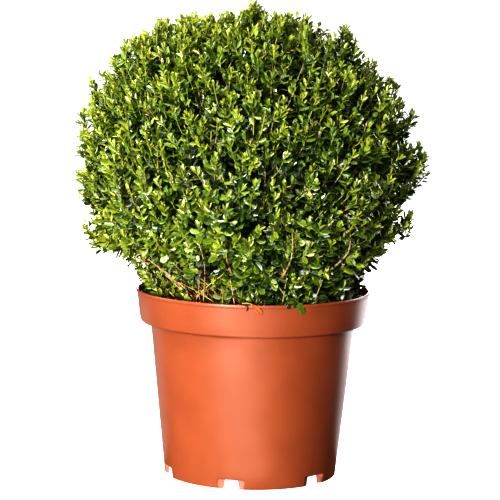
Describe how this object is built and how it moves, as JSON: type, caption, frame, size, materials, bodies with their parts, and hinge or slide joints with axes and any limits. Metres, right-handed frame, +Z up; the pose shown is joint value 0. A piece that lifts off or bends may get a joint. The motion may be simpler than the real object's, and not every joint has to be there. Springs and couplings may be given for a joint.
{
  "type": "potted box topiary ball",
  "caption": "Evergreen box shrub clipped into a dense leafy ball on a cluster of thin stems, growing in a tapered round terracotta-coloured plastic pot with a deep collar.",
  "frame": {"origin": "centre of the pot's underside, on the ground it stands on", "axes": "+Z up, +X to the right as seen from the front, -Y to the front"},
  "size_m": [0.4758, 0.4554, 0.6361],
  "materials": {
    "pot": "satin, faintly scuffed",
    "compost": "crumbly, matt",
    "bark": "thin tan bark, matt",
    "foliage": "small leathery leaves, satin"
  },
  "bodies": {
    "root": {"pot": "pot", "foot_1": "pot", "foot_2": "pot", "foot_3": "pot", "foot_4": "pot", "foot_5": "pot", "foot_6": "pot", "compost": "compost", "trunk": "bark", "stem_01": "bark", "stem_02": "bark", "stem_03": "bark", "stem_04": "bark", "stem_05": "bark", "stem_06": "bark", "stem_07": "bark", "stem_08": "bark", "stem_09": "bark", "stem_10": "bark", "stem_11": "bark", "stem_12": "bark", "stem_13": "bark", "stem_14": "bark", "crown": "foliage"}
  },
  "joints": []
}
